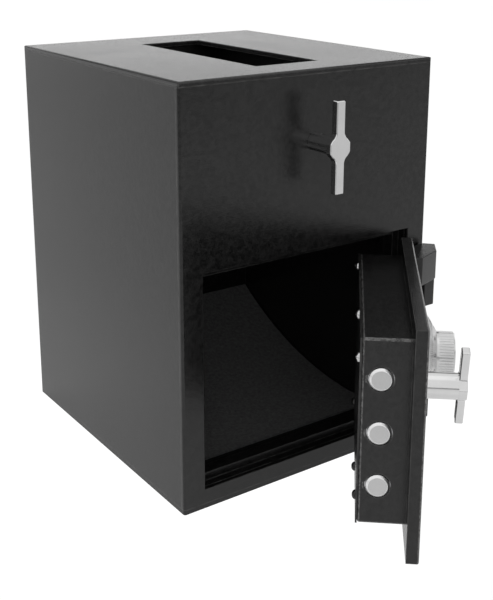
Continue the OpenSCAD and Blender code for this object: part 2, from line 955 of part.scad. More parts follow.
module bolt_bar() {
    bar_h = 2 * (bolt_pitch + bar_over);
    arm_end = latch_tip - socket_gap;
    half_play = crank_pin_d / 2 + slot_play;
    pin_low = crank_r * cos(45) - half_play;
    pin_high = crank_r + half_play;
    color(steel) hung() difference() {
        union() {
            translate([bolt_tail, arm_y, bolt_mid_z - bar_h / 2])
                cube([bar_plate_t, cavity_y - bar_gap - arm_y, bar_h]);
            translate([bolt_tail, arm_y, lock_z - arm_drop])
                cube([arm_end - bolt_tail, arm_t, arm_drop + arm_rise]);
        }
        translate([crank_r * sin(45) - half_play, arm_y - 1, lock_z + pin_low])
            cube([2 * half_play, arm_t + 2, pin_high - pin_low]);
        for (z = bolt_zs) rod_x([bolt_tail - 1, bolt_y, z], screw_d / 2, bar_plate_t + 2);
    }
}

module live_bolts() {
    color(chrome) hung()
        for (z = bolt_zs)
            difference() {
                translate([bolt_tip, bolt_y, z]) rotate([0, 90, 0]) {
                    cylinder(d1 = bolt_d - 2 * bolt_chamfer, d2 = bolt_d, h = bolt_chamfer);
                    translate([0, 0, bolt_chamfer]) cylinder(d = bolt_d, h = bolt_len - bolt_chamfer);
                }
                rod_x([bolt_tail - bolt_thread_l, bolt_y, z], screw_d / 2, bolt_thread_l + 2);
            }
}

module bolt_screws() {
    color(steel) hung()
        for (z = bolt_zs) {
            rod_x([bolt_tail - bolt_thread_l, bolt_y, z], screw_d / 2, bolt_thread_l + bar_plate_t);
            rod_x([bolt_tail + bar_plate_t, bolt_y, z], screw_d, screw_head_h);
        }
}

floor_panel();
left_side_panel();
right_side_panel();
rear_panel();
front_panel();
roof_panel();
left_door_stop();
right_door_stop();
door_sill_stop();
door_header_stop();
floor_mat();
chute_front_plate();
chute_rear_plate();
chute_left_guard();
chute_right_guard();
front_spindle_bush();
rear_spindle_bush();
upper_cabinet_hinge_leaf();
lower_cabinet_hinge_leaf();
hinge_pins();
hinge_washers();
drum_shell();
drum_front_end();
drum_rear_end();
hopper_spindle();
drum_rear_journal();
hopper_handle();
hopper_handle_pin();
journal_clip();
door_plate();
bolt_box();
bolt_box_cover();
cover_screws();
bolt_guide();
dead_bar();
upper_door_hinge_leaf();
lower_door_hinge_leaf();
handle_bush();
dial_ring();
dial_ring_screws();
lock_case();
lock_case_cover();
lock_screws();
combination_dial();
dial_knob();
dial_spindle();
drive_cam();
combination_wheels();
lock_bolt();
door_handle();
door_handle_spindle();
handle_crank();
crank_pin();
bolt_bar();
live_bolts();
bolt_screws();
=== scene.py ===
"""Dressed model of a steel drop safe: finishes, fine pieces, studio and camera."""

import json
import logging
import math
from collections.abc import Callable, Iterable
from dataclasses import dataclass
from enum import Enum

import bmesh
import bpy
from mathutils import Matrix, Vector


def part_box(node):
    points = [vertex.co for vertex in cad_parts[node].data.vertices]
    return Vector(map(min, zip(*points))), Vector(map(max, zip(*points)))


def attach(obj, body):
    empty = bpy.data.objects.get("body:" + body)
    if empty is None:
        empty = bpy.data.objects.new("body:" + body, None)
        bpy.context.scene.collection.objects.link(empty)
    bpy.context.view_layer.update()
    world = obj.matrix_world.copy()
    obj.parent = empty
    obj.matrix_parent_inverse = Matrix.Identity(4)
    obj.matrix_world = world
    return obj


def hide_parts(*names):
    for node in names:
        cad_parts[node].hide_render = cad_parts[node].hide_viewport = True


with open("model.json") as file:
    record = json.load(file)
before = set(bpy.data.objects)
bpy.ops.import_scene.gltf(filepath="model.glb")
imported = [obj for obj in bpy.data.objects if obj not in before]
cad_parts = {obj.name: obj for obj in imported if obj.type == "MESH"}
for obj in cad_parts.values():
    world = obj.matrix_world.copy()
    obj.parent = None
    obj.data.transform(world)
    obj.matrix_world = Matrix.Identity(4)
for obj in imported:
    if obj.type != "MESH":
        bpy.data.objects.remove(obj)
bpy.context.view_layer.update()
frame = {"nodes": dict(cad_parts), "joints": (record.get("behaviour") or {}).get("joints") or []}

logging.basicConfig(level=logging.INFO, format="%(message)s")
log = logging.getLogger("drop_safe")

MM = 0.001
Point = tuple[float, float, float]
Band = tuple[float, float, float, float]
Colour = tuple[float, float, float, float]
Edge = bmesh.types.BMEdge
Shape = bmesh.types.BMesh
Socket = bpy.types.NodeSocket
Outputs = bpy.types.NodeOutputs
Material = bpy.types.Material
Object = bpy.types.Object
WHITE: Colour = (1.0, 1.0, 1.0, 1.0)


class Body(Enum):
    """Rigid groups that the pieces made here ride on."""

    CABINET = "cabinet"
    HOPPER = "hopper"
    DOOR = "door"
    DIAL = "dial"
    HANDLE = "handle"
    BOLT_WORK = "bolt_work"


class Slot(Enum):
    """The record's finish names; no piece made here is given one."""

    POWDER = "powder_coat"
    INNER = "inner_coat"
    MAT = "floor_mat"
    HANDLE_CHROME = "handle_chrome"
    DIAL_CHROME = "dial_chrome"
    NICKEL = "bolt_nickel"
    ZINC = "screw_zinc"


def grey(value: float, warm: float = 0.0) -> Colour:
    """Linear grey, with a little red added and blue taken away by warm."""
    return (value * (1 + warm), value, value * (1 - warm), 1.0)


# ---------------- shader tools


class Graph:
    """Adds and links nodes in one shader tree."""

    def __init__(self, tree: bpy.types.NodeTree) -> None:
        """Works on the given tree."""
        self.tree = tree

    def add(self, kind: str, feeds: dict | None = None, **props: object) -> bpy.types.Node:
        """Adds one node.

        Args:
            kind: Blender's name of the node type.
            feeds: Input name or number to a value, or to a socket that feeds it.
            props: Properties of the node itself.

        Returns:
            The new node.
        """
        node = self.tree.nodes.new(kind)
        for key, value in props.items():
            setattr(node, key, value)
        for key, value in (feeds or {}).items():
            if isinstance(value, Socket):
                self.tree.links.new(value, node.inputs[key])
            else:
                node.inputs[key].default_value = value
        return node

    def measure(self, kind: str, a: object, b: object = (0, 0, 0)) -> Outputs:
        """Outputs of one Vector Math node on a and b."""
        return self.add("ShaderNodeVectorMath", {0: a, 1: b}, operation=kind).outputs

    def math(self, operation: str, a: object, b: object = 0.5) -> Socket:
        """Result socket of one Math node on a and b."""
        return self.add("ShaderNodeMath", {0: a, 1: b}, operation=operation).outputs[0]

    def ramp(
        self, value: object, low: float, high: float, out_low: float, out_high: float
    ) -> Socket:
        """Value mapped from low..high to out_low..out_high, clamped."""
        feeds = {0: value, 1: low, 2: high, 3: out_low, 4: out_high}
        return self.add("ShaderNodeMapRange", feeds).outputs[0]

    def mix(self, mask: object, a: object, b: object) -> Socket:
        """Colour a where mask is 0 and b where it is 1."""
        node = self.add("ShaderNodeMix", {0: mask, 6: a, 7: b}, data_type="RGBA")
        return node.outputs[2]

    def along(self, vector: object, way: object) -> Socket:
        """Dot product of a vector with a way."""
        return self.measure("DOT_PRODUCT", vector, way)["Value"]

    def stretch(self, vector: object, scale: Point) -> Socket:
        """A vector with each axis scaled on its own."""
        return self.measure("MULTIPLY", vector, scale)[0]

    def bump(self, height: Socket, distance: float) -> Socket:
        """Normal of a relief whose height 0 to 1 stands for distance in metres."""
        feeds = {"Height": height, "Distance": distance, "Strength": 1.0}
        return self.add("ShaderNodeBump", feeds).outputs[0]

    def noise(self, vector: object, scale: object, detail: float) -> Socket:
        """Fractal noise, about 0.3 to 0.7."""
        feeds = {"Vector": vector, "Scale": scale, "Detail": detail}
        return self.add("ShaderNodeTexNoise", feeds).outputs[0]

    def placed(self, turn: Point = (0, 0, 0), move: Point = (0, 0, 0)) -> Socket:
        """Object coordinates after a move to a piece's centre and a turn to its axis."""
        coords = self.add("ShaderNodeTexCoord").outputs["Object"]
        if turn == (0, 0, 0) and move == (0, 0, 0):
            return coords
        feeds = {"Vector": coords, "Location": move, "Rotation": turn}
        return self.add("ShaderNodeMapping", feeds, vector_type="TEXTURE").outputs[0]


Wiring = Callable[[Graph, Outputs], dict[str, Socket]]


@dataclass(frozen=True)
class Effect:
    """A node group that several finishes share."""

    name: str
    inputs: tuple[tuple[str, str, float | None], ...]
    outputs: tuple[str, ...]
    wire: Wiring

    def tree(self) -> bpy.types.NodeTree:
        """The group's tree, built the first time it is asked for."""
        made = bpy.data.node_groups.get(self.name)
        if made:
            return made
        tree = bpy.data.node_groups.new(self.name, "ShaderNodeTree")
        for name, kind, value in self.inputs:
            socket = tree.interface.new_socket(name=name, in_out="INPUT", socket_type=kind)
            if value is not None:
                socket.default_value = value
        for name in self.outputs:
            tree.interface.new_socket(name=name, in_out="OUTPUT", socket_type="NodeSocketFloat")
        start = tree.nodes.new("NodeGroupInput")
        end = tree.nodes.new("NodeGroupOutput")
        for name, socket in self.wire(Graph(tree), start.outputs).items():
            tree.links.new(socket, end.inputs[name])
        return tree

    def place(self, graph: Graph, **feeds: object) -> Outputs:
        """Puts the group into a material.

        Args:
            graph: The material's graph.
            feeds: Values or sockets for the group's inputs.

        Returns:
            The group node's outputs.
        """
        return graph.add("ShaderNodeGroup", feeds, node_tree=self.tree()).outputs


def _wire_peel(g: Graph, i: Outputs) -> dict[str, Socket]:
    """Baked powder: fine pimples over a slower orange peel, and a broad mottle."""
    fine = g.noise(i["Vector"], i["Grain"], 2.0)
    slow = g.noise(i["Vector"], g.math("MULTIPLY", i["Grain"], 0.23), 2.0)
    height = g.math("ADD", g.math("MULTIPLY", fine, 0.6), g.math("MULTIPLY", slow, 0.4))
    mottle = g.ramp(g.noise(i["Vector"], i["Broad"], 4.0), 0.32, 0.68, 0.0, 1.0)
    return {"Height": height, "Mottle": mottle}


def _wire_wear(g: Graph, i: Outputs) -> dict[str, Socket]:
    """Edges worn by hands and boxes and given a painted highlight, broken up by a patchy noise."""
    soft = g.add("ShaderNodeBevel", {"Radius": i["Radius"]}, samples=4).outputs[0]
    plain = g.add("ShaderNodeNewGeometry").outputs["Normal"]
    edge = g.ramp(g.along(soft, plain), 0.97, 0.80, 0.0, 1.0)
    patch = g.ramp(g.noise(i["Vector"], i["Patch"], 5.0), 0.38, 0.62, 0.15, 1.0)
    return {"Mask": g.math("MULTIPLY", edge, patch)}


def _wire_lines(g: Graph, i: Outputs) -> dict[str, Socket]:
    """Fine lines along X, as a belt or a draw die leaves."""
    lines = g.noise(g.stretch(i["Vector"], (0.02, 1.0, 1.0)), i["Pitch"], 2.0)
    return {"Height": lines, "Tone": g.ramp(lines, 0.35, 0.65, 0.0, 1.0)}


def _wire_rings(g: Graph, i: Outputs) -> dict[str, Socket]:
    """Rings about Z, as a lathe tool leaves on a faced end."""
    flat = g.stretch(i["Vector"], (1.0, 1.0, 0.0))
    radius = g.measure("LENGTH", flat)["Value"]
    ring = g.math("SINE", g.math("MULTIPLY", radius, i["Pitch"]))
    line = g.add("ShaderNodeCombineXYZ", {0: radius}).outputs[0]
    chatter = g.noise(line, g.math("MULTIPLY", i["Pitch"], 0.31), 2.0)
    height = g.math("ADD", g.math("MULTIPLY", ring, 0.25), chatter)
    return {"Height": height, "Tone": g.ramp(height, 0.2, 0.9, 0.0, 1.0)}


def _wire_film(g: Graph, i: Outputs) -> dict[str, Socket]:
    """Thin handling film and hairlines on a polished face."""
    film = g.ramp(g.noise(i["Vector"], i["Patch"], 5.0), 0.35, 0.70, 0.0, 1.0)
    thin = g.stretch(i["Vector"], (1.0, 0.06, 0.35))
    fine = g.noise(thin, g.math("MULTIPLY", i["Patch"], 30.0), 1.0)
    return {"Film": film, "Hair": g.ramp(fine, 0.60, 0.68, 0.0, 1.0)}


VEC, NUM = "NodeSocketVector", "NodeSocketFloat"
COORDS = ("Vector", VEC, None)
PEEL_INPUTS = (COORDS, ("Grain", NUM, 900.0), ("Broad", NUM, 9.0))
EDGE_RUB_AND_HIGHLIGHT_INPUTS = (COORDS, ("Radius", NUM, 0.0015), ("Patch", NUM, 60.0))
PEEL = Effect("Powder peel", PEEL_INPUTS, ("Height", "Mottle"), _wire_peel)
EDGE_RUB_AND_HIGHLIGHT = Effect("Rubbed edges with painted highlight", EDGE_RUB_AND_HIGHLIGHT_INPUTS, ("Mask",), _wire_wear)
LINES = Effect("Drawn lines", (COORDS, ("Pitch", NUM, 2500.0)), ("Height", "Tone"), _wire_lines)
RINGS = Effect("Turned rings", (COORDS, ("Pitch", NUM, 9000.0)), ("Height", "Tone"), _wire_rings)
FILM = Effect("Handling film", (COORDS, ("Patch", NUM, 28.0)), ("Film", "Hair"), _wire_film)
METAL = {"Metallic": 1.0}


@dataclass(frozen=True)
class Finish:
    """A procedural finish of one surface."""

    name: str

    def wire(self, g: Graph) -> dict[str, object]:
        """Values and sockets for the inputs of the Principled shader."""
        return {}

    def build(self) -> Material:
        """The finished material."""
        material = bpy.data.materials.new(self.name)
        material.use_nodes = True
        material.node_tree.nodes.clear()
        g = Graph(material.node_tree)
        shader = g.add("ShaderNodeBsdfPrincipled", self.wire(g))
        g.add("ShaderNodeOutputMaterial", {"Surface": shader.outputs[0]})
        return material


@dataclass(frozen=True)
class PowderCoat(Finish):
    """Baked satin powder over steel, worn thin at its edges by rubbing, where a lighter tone also
    paints a highlight.
    """

    tone: float = 0.007
    roughness: float = 0.21
    grain: float = 860.0
    relief: float = 0.00026
    specular: float = 0.49
    # Band of the pimples, and the dark and light that colour them: painted shading of the relief.
    pimples: Band = (0.42, 0.58, 0.0, 1.0)
    dark: float = 0.2
    light: float = 1.8
    sheen_spread: float = 0.012
    # Lighter tone, share and width of the edge band: rubbing wear, and a painted highlight.
    rub_tone: float = 0.12
    rub_share: float = 0.6
    rub_polish: float = 0.08
    rub_radius: float = 0.0022

    def wire(self, g: Graph) -> dict[str, object]:
        """Values and sockets for the shader."""
        coords = g.placed()
        peel = PEEL.place(g, Vector=coords, Grain=self.grain)
        # The edge mask lightens the powder along every edge: partly rubbing wear, partly a painted
        # highlight.
        wear = EDGE_RUB_AND_HIGHLIGHT.place(g, Vector=coords, Radius=self.rub_radius)
        # The grain's colour follows the relief's height, from dark to light: painted shading of the
        # pimples.
        pimples = g.ramp(peel["Height"], *self.pimples)
        dark, light = grey(self.tone * self.dark, 0.01), grey(self.tone * self.light, 0.01)
        rubbed = g.math("MULTIPLY", wear["Mask"], self.rub_share)
        colour = g.mix(rubbed, g.mix(pimples, dark, light), grey(self.rub_tone, 0.02))
        dull, bright = self.roughness + self.sheen_spread, self.roughness - self.sheen_spread
        sheen = g.ramp(peel["Mottle"], 0.0, 1.0, dull, bright)
        rough = g.math("SUBTRACT", sheen, g.math("MULTIPLY", wear["Mask"], self.rub_polish))
        normal = g.bump(peel["Height"], self.relief)
        level = {"Specular IOR Level": self.specular}
        return {"Base Color": colour, "Roughness": rough, "Normal": normal} | level


@dataclass(frozen=True)
class Polished(Finish):
    """Plated and buffed metal, with a thin film from handling."""

    tone: float = 0.72
    roughness: float = 0.07
    film: float = 0.10
    patch: float = 28.0
    dark: float = 0.95
    light: float = 1.03
    hair: float = 0.05
    hair_relief: float = 0.000012

    def wire(self, g: Graph) -> dict[str, object]:
        """Values and sockets for the shader."""
        film = FILM.place(g, Vector=g.placed(), Patch=self.patch)
        colour = g.mix(film["Film"], grey(self.tone * self.light), grey(self.tone * self.dark))
        smear = g.math("MULTIPLY", film["Film"], self.film)
        scratch = g.math("MULTIPLY", film["Hair"], self.hair)
        rough = g.math("ADD", g.math("ADD", smear, scratch), self.roughness)
        normal = g.bump(film["Hair"], self.hair_relief)
        return METAL | {"Base Color": colour, "Roughness": rough, "Normal": normal}


@dataclass(frozen=True)
class Machined(Finish):
    """Bare or plated metal that shows its drawn or ground lines."""

    colour: tuple[float, float, float] = (0.52, 0.52, 0.53)
    roughness: float = 0.26
    pitch: float = 2600.0
    relief: float = 0.00002
    patch: float = 45.0
    dark: float = 0.82
    light: float = 1.08
    line_share: float = 0.55
    film_share: float = 0.45
    dull: float = 0.08
    bright: float = 0.05

    def wire(self, g: Graph) -> dict[str, object]:
        """Values and sockets for the shader."""
        lines = LINES.place(g, Vector=g.placed(), Pitch=self.pitch)
        film = FILM.place(g, Vector=g.placed(), Patch=self.patch)
        dark = tuple(c * self.dark for c in self.colour) + (1.0,)
        light = tuple(min(1.0, c * self.light) for c in self.colour) + (1.0,)
        lined = g.math("MULTIPLY", lines["Tone"], self.line_share)
        filmed = g.math("MULTIPLY", film["Film"], self.film_share)
        worn = g.math("ADD", lined, filmed)
        rough = g.ramp(worn, 0.0, 1.0, self.roughness + self.dull, self.roughness - self.bright)
        normal = g.bump(lines["Height"], self.relief)
        colour = g.mix(worn, dark, light)
        return METAL | {"Base Color": colour, "Roughness": rough, "Normal": normal}


@dataclass(frozen=True)
class Faced(Finish):
    """Metal turned on a lathe, with rings about its own axis."""

    centre: Point
    turn: Point
    tone: float
    roughness: float
    relief: float = 0.00003
    pitch: float = 5200.0
    patch: float = 35.0
    dark: float = 0.88
    light: float = 1.04
    film: float = 0.10

    def wire(self, g: Graph) -> dict[str, object]:
        """Values and sockets for the shader."""
        rings = RINGS.place(g, Vector=g.placed(self.turn, self.centre), Pitch=self.pitch)
        film = FILM.place(g, Vector=g.placed(), Patch=self.patch)
        colour = g.mix(rings["Tone"], grey(self.tone * self.dark), grey(self.tone * self.light))
        rough = g.math("ADD", g.math("MULTIPLY", film["Film"], self.film), self.roughness)
        normal = g.bump(rings["Height"], self.relief)
        return METAL | {"Base Color": colour, "Roughness": rough, "Normal": normal}


@dataclass(frozen=True)
class Felt(Finish):
    """Needled mat: short matted fibres with a faint sheen."""

    tone: float
    fibre: float = 1400.0
    tuft: float = 240.0
    fibre_share: float = 0.6
    tuft_share: float = 0.4
    dark: float = 0.5
    light: float = 1.7
    relief: float = 0.0007
    sheen: float = 0.12

    def wire(self, g: Graph) -> dict[str, object]:
        """Values and sockets for the shader."""
        coords = g.placed()
        fibre = g.math("MULTIPLY", g.noise(coords, self.fibre, 4.0), self.fibre_share)
        tuft = g.math("MULTIPLY", g.noise(coords, self.tuft, 3.0), self.tuft_share)
        nap = g.math("ADD", fibre, tuft)
        mask = g.ramp(nap, 0.35, 0.65, 0.0, 1.0)
        colour = g.mix(mask, grey(self.tone * self.dark), grey(self.tone * self.light))
        rough = g.ramp(mask, 0.0, 1.0, 0.98, 0.85)
        normal = g.bump(nap, self.relief)
        level = {"Sheen Weight": self.sheen}
        return {"Base Color": colour, "Roughness": rough, "Normal": normal} | level


@dataclass(frozen=True)
class FilledPaint(Finish):
    """Paint wiped into engraved marks."""

    tone: float = 0.012
    worn: float = 2.6
    wear: Band = (0.40, 0.66, 0.0, 1.0)

    def wire(self, g: Graph) -> dict[str, object]:
        """Values and sockets for the shader."""
        worn = g.ramp(g.noise(g.placed(), 900.0, 3.0), *self.wear)
        colour = g.mix(worn, grey(self.tone), grey(self.tone * self.worn))
        return {"Base Color": colour, "Roughness": g.ramp(worn, 0.0, 1.0, 0.45, 0.62)}


# ---------------- shop tools


def swung_open() -> Matrix:
    """Matrix from the shut door's place to the place where it stands ajar."""
    swing = next(j for j in frame["joints"] if j["name"] == "door_swing")
    pin = Vector(swing["pos_m"])
    turn = Matrix.Rotation(-math.radians(swing["range_deg"][0]), 4, Vector(swing["axis"]))
    return Matrix.Translation(pin) @ turn @ Matrix.Translation(-pin)


HUNG = swung_open()
SHUT = HUNG.inverted()
AJAR = HUNG.to_euler().z
OUTWARD = math.radians(90.0)
# Vertices nearer than these are one: the CAD nodes' own, and those that a shop tool leaves.
WELD, STITCH = 0.000004, 0.000002
# Faces under the first angle lie flat to each other, and edges over the second are sharp.
FLAT, SHARP = math.radians(0.4), math.radians(31)
# How far a vertex may lie from the plane that it is looked for on.
NEAR = 0.0003


def put(name: str, data: bpy.types.ID) -> Object:
    """Puts a new object with this data into the scene."""
    thing = bpy.data.objects.new(name, data)
    bpy.context.scene.collection.objects.link(thing)
    return thing


def dress(nodes: Iterable[str], material: Material) -> None:
    """Puts a material on every slot of each CAD node."""
    for name in nodes:
        node = frame["nodes"][name]
        if not node.material_slots:
            node.data.materials.append(material)
        for held in node.material_slots:
            held.material = material
        log.info("node %s: %s", name, material.name)


def ease(nodes: Iterable[str], width: float) -> None:
    """Breaks the sharp edges of CAD nodes with modifiers.

    Args:
        nodes: The nodes to ease.
        width: Width of the broken edge, in metres.
    """
    for name in nodes:
        node = frame["nodes"][name]
        weld = node.modifiers.new("Joined faces", "WELD")
        weld.merge_threshold = WELD
        flat = node.modifiers.new("Flat faces", "DECIMATE")
        flat.decimate_type = "DISSOLVE"
        flat.angle_limit = FLAT
        edge = node.modifiers.new("Broken edges", "BEVEL")
        edge.width = width
        edge.segments = 2
        edge.limit_method = "ANGLE"
        edge.angle_limit = SHARP
        shade = node.modifiers.new("Even shading", "WEIGHTED_NORMAL")
        shade.weight = 70


def every(edge: Edge) -> bool:
    """Picks any edge."""
    return True


def eased_copy(
    node: str, width: float, segments: int = 2, pick: Callable[[Edge], bool] = every,
    edge_slot: int = -1,
) -> Shape:
    """A merged copy of a CAD node with its sharp edges broken.

    Args:
        node: The node to copy.
        width: Width of the broken edge, in metres.
        segments: Faces across it.
        pick: Says which of the sharp edges are broken.
        edge_slot: Material slot of the new faces, or -1 for that of their neighbours.

    Returns:
        The eased shape.
    """
    bm = bmesh.new()
    bm.from_mesh(frame["nodes"][node].data)
    bmesh.ops.remove_doubles(bm, verts=bm.verts[:], dist=WELD)
    bmesh.ops.dissolve_limit(
        bm, angle_limit=FLAT, verts=bm.verts[:], edges=bm.edges[:], use_dissolve_boundaries=False,
    )
    bm.normal_update()
    joined = [e for e in bm.edges if len(e.link_faces) == 2]
    sharp = [e for e in joined if e.calc_face_angle() > SHARP and pick(e)]
    bmesh.ops.bevel(
        bm, geom=sharp, offset=width, offset_type="OFFSET", segments=segments, profile=0.5,
        affect="EDGES", clamp_overlap=False, material=edge_slot,
    )
    return bm


def stand_for(node: str, bm: Shape, body: Body, material: Material) -> Object:
    """Makes a piece that takes a CAD node's place, with even shading on its flats.

    Args:
        node: The node that it replaces.
        bm: The shape. It is freed.
        body: The body that it rides on.
        material: Its finish.

    Returns:
        The new object.
    """
    piece = finish_piece(bm, f"{node}_eased", body, material, smooth=40.0)
    shade = piece.modifiers.new("Even shading", "WEIGHTED_NORMAL")
    shade.keep_sharp = True
    shade.weight = 80
    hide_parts(node)
    return piece


def finish_piece(
    bm: Shape, name: str, body: Body, material: Material, smooth: float = 35.0
) -> Object:
    """Makes a piece of a finished bmesh.

    Args:
        bm: The shape, in its place in the shared frame. It is freed.
        name: The piece's name.
        body: The body that it rides on.
        material: Its finish.
        smooth: Edges sharper than this stay crisp, in degrees.

    Returns:
        The new object.
    """
    mesh = bpy.data.meshes.new(name)
    bm.normal_update()
    bm.to_mesh(mesh)
    bm.free()
    mesh.shade_smooth()
    mesh.set_sharp_from_angle(angle=math.radians(smooth))
    piece = put(name, mesh)
    mesh.materials.append(material)
    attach(piece, body.value)
    log.info("piece %s rides on %s: %d faces", name, body.value, len(mesh.polygons))
    return piece


def cut_from(bm: Shape, tool: Shape) -> Shape:
    """Cuts tool out of bm with a boolean.

    Args:
        bm: The blank. It is freed.
        tool: The cutter. It is freed.

    Returns:
        The cut shape.
    """
    made = []
    for label, shape in (("blank", bm), ("cutter", tool)):
        mesh = bpy.data.meshes.new(label)
        shape.to_mesh(mesh)
        shape.free()
        made.append(put(label, mesh))
    blank, cutter = made
    cut = blank.modifiers.new("cut", "BOOLEAN")
    cut.object = cutter
    cut.solver = "EXACT"
    cut.use_self = True
    graph = bpy.context.evaluated_depsgraph_get()
    result = bpy.data.meshes.new_from_object(blank.evaluated_get(graph))
    out = bmesh.new()
    out.from_mesh(result)
    for thing in made:
        mesh = thing.data
        bpy.data.objects.remove(thing)
        bpy.data.meshes.remove(mesh)
    bpy.data.meshes.remove(result)
    return out


def turned(profile: list[tuple[float, float]], steps: int) -> Shape:
    """A solid of revolution about Z.

    Args:
        profile: Points of (radius, height) in millimetres, from one end of the axis to the other.
        steps: Faces round the axis.

    Returns:
        The closed shape.
    """
    bm = bmesh.new()
    last = None
    for r, z in profile:
        vert = bm.verts.new((r * MM, 0, z * MM))
        if last is not None:
            bm.edges.new((last, vert))
        last = vert
    bmesh.ops.spin(
        bm, geom=bm.verts[:] + bm.edges[:], cent=(0, 0, 0), axis=(0, 0, 1), dvec=(0, 0, 0),
        angle=math.tau, steps=steps, use_merge=True, use_duplicate=False,
    )
    bmesh.ops.remove_doubles(bm, verts=bm.verts[:], dist=STITCH)
    bmesh.ops.recalc_face_normals(bm, faces=bm.faces[:])
    return bm


def add_mesh(target: Shape, mesh: bpy.types.Mesh, place: Matrix) -> None:
    """Adds a mesh to target, moved to its place."""
    before = len(target.verts)
    target.from_mesh(mesh)
    target.verts.ensure_lookup_table()
    bmesh.ops.transform(target, matrix=place, verts=target.verts[before:])


def add_copies(target: Shape, source: Shape, places: Iterable[Matrix]) -> None:
    """Adds one copy of source to target at each place, and frees source."""
    mesh = bpy.data.meshes.new("pattern")
    source.to_mesh(mesh)
    source.free()
    for place in places:
        add_mesh(target, mesh, place)
    bpy.data.meshes.remove(mesh)


@dataclass(frozen=True)
class Finishes:
    """Every finish of the safe."""

    shell: Material
    inner: Material
    chute: Material
    rubbed: Material
    handles: Material
    dial: Material
    knob: Material
    nickel: Material
    rim: Material
    zinc: Material
    brass: Material
    steel: Material
    paint: Material
    felt: Material


# ---------------- the safe


@dataclass
class Cabinet:
    """Welded body: panels, door stops and the fixed hinge leaves."""

    panels: tuple[str, ...] = (
        "floor_panel", "left_side_panel", "right_side_panel", "rear_panel", "front_panel",
        "roof_panel",
    )
    stops: tuple[str, ...] = (
        "left_door_stop", "right_door_stop", "door_sill_stop", "door_header_stop",
    )
    leaves: tuple[str, ...] = ("lower_cabinet_hinge_leaf", "upper_cabinet_hinge_leaf")
    leaf_edge: float = 1.0 * MM
    stop_edge: float = 0.8 * MM
    panel_edge: float = 0.9 * MM
    half_width: float = 184 * MM
    front: float = -200 * MM
    flush_by: float = 0.1 * MM
    corner_by: float = 0.2 * MM
    near_top: float = 507.9 * MM
    doorway_reach: float = 160 * MM
    doorway_foot: float = 15 * MM
    doorway_head: float = 300 * MM

    def on_doorway(self, edge: Edge) -> bool:
        """Tells whether an edge of the front panel borders the doorway or a corner of the safe."""
        a, b = (v.co for v in edge.verts)
        flush = max(abs(a.y - self.front), abs(b.y - self.front)) < self.flush_by
        across = max(abs(a.x), abs(b.x)) < self.doorway_reach
        upright = min(a.z, b.z) > self.doorway_foot and max(a.z, b.z) < self.doorway_head
        corner = min(abs(a.x), abs(b.x)) > self.half_width - self.corner_by
        return flush and (corner or (across and upright))

    def on_top(self, edge: Edge) -> bool:
        """Tells whether an edge of the roof borders its top face."""
        return min(v.co.z for v in edge.verts) > self.near_top

    def build(self, kit: Finishes) -> None:
        """Dresses the body's nodes and breaks the edges that hands meet."""
        dress(self.panels + self.leaves, kit.shell)
        dress(self.stops, kit.inner)
        dress(("hinge_pins",), kit.steel)
        dress(("front_spindle_bush",), kit.inner)
        dress(("hinge_washers", "rear_spindle_bush"), kit.brass)
        for panel, pick in (("front_panel", self.on_doorway), ("roof_panel", self.on_top)):
            bm = eased_copy(panel, self.panel_edge, pick=pick)
            stand_for(panel, bm, Body.CABINET, kit.shell)
        for leaf in self.leaves:
            bm = eased_copy(leaf, self.leaf_edge)
            stand_for(leaf, bm, Body.CABINET, kit.shell)
        ease(self.stops, self.stop_edge)


@dataclass
class CompartmentMat:
    """Thin felt mat that runs up the rear wall."""

    width: float = 352 * MM
    front: float = -116 * MM
    bend: float = -80 * MM
    low: float = 6.3 * MM
    radius: float = 478.5 * MM
    sweep: float = math.radians(34.9)
    thickness: float = 3 * MM
    rise_steps: int = 36
    cross_cuts: int = 11

    def surface(self, left: float, right: float) -> Shape:
        """The flat run and the rise, between two sides, as a surface that faces up."""
        bm = bmesh.new()
        ends = [bm.verts.new((x, self.front, self.low)) for x in (left, right)]
        edge = bm.edges.new(ends)
        run = bmesh.ops.extrude_edge_only(bm, edges=[edge])["geom"]
        moved = [v for v in run if isinstance(v, bmesh.types.BMVert)]
        bmesh.ops.translate(bm, verts=moved, vec=(0, self.bend - self.front, 0))
        edges = [e for e in run if isinstance(e, Edge)]
        last = [e for e in edges if all(v in moved for v in e.verts)]
        bmesh.ops.spin(
            bm, geom=last + moved, cent=(0, self.bend, self.low + self.radius), axis=(1, 0, 0),
            dvec=(0, 0, 0), angle=self.sweep, steps=self.rise_steps, use_merge=False,
            use_duplicate=False,
        )
        bmesh.ops.remove_doubles(bm, verts=bm.verts[:], dist=0.00001)
        cross = [e for e in bm.edges if e.calc_length() > self.width / 2]
        bmesh.ops.subdivide_edges(bm, edges=cross, cuts=self.cross_cuts, use_grid_fill=True)
        bmesh.ops.recalc_face_normals(bm, faces=bm.faces[:])
        if sum(f.normal.z for f in bm.faces) < 0:
            bmesh.ops.reverse_faces(bm, faces=bm.faces[:])
        return bm

    def build(self, kit: Finishes) -> Object:
        """Gives the sheet its thickness, keeps it inside the node's box and lays it down."""
        low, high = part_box("floor_mat")
        bm = self.surface(low.x, high.x)
        bmesh.ops.solidify(bm, geom=bm.faces[:], thickness=-self.thickness)
        bmesh.ops.recalc_face_normals(bm, faces=bm.faces[:])
        for vert in bm.verts:
            vert.co.y = min(vert.co.y, high.y)
            vert.co.z = min(vert.co.z, high.z)
        piece = finish_piece(bm, "compartment_mat", Body.CABINET, kit.felt)
        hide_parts("floor_mat")
        return piece


